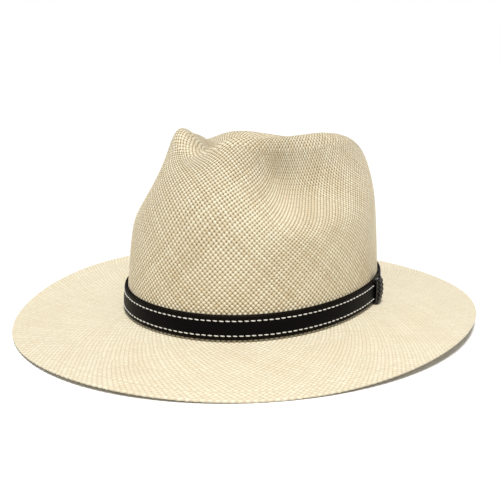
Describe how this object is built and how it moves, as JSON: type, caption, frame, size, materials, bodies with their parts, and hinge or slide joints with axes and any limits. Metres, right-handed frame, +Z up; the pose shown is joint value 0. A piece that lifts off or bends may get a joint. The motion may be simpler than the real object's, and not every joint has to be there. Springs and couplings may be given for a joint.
{
  "type": "panama hat",
  "caption": "Straw panama hat with a pinched teardrop crown, a wide curved brim, a stitched leather band with a braided keeper, and a sweatband inside.",
  "frame": {"origin": "under the middle of the brim's outline, on the plane that the brim rests on", "axes": "+Z up through the crown, -Y towards the front of the hat, +X towards the wearer's left"},
  "size_m": [0.3184, 0.3584, 0.134],
  "materials": {
    "straw": "natural toquilla straw, plain woven on the diagonal, matte with a faint gloss",
    "black_leather": "smooth black leather, semi-matte",
    "backing_leather": "black split leather, matte",
    "white_thread": "waxed off-white thread",
    "black_lace": "round black leather lace, slight sheen",
    "sweat_cloth": "black cotton sweatband cloth, matte",
    "reed_cover": "cloth-covered plastic reed, matte",
    "sewing_thread": "straw-coloured sewing thread",
    "seam_tape": "black satin tape",
    "bow_ribbon": "black satin ribbon",
    "label_cloth": "plain woven label, no lettering"
  },
  "bodies": {
    "root": {"straw_body": "straw", "hatband_strap": "black_leather", "hatband_backing": "backing_leather", "upper_stitching": "white_thread", "lower_stitching": "white_thread", "braided_keeper": "black_lace", "sweatband": "sweat_cloth", "sweatband_reed": "reed_cover", "sweatband_stitching": "sewing_thread", "sweatband_seam_tape": "seam_tape", "sweatband_bow": "bow_ribbon", "size_label": "label_cloth"}
  },
  "joints": []
}
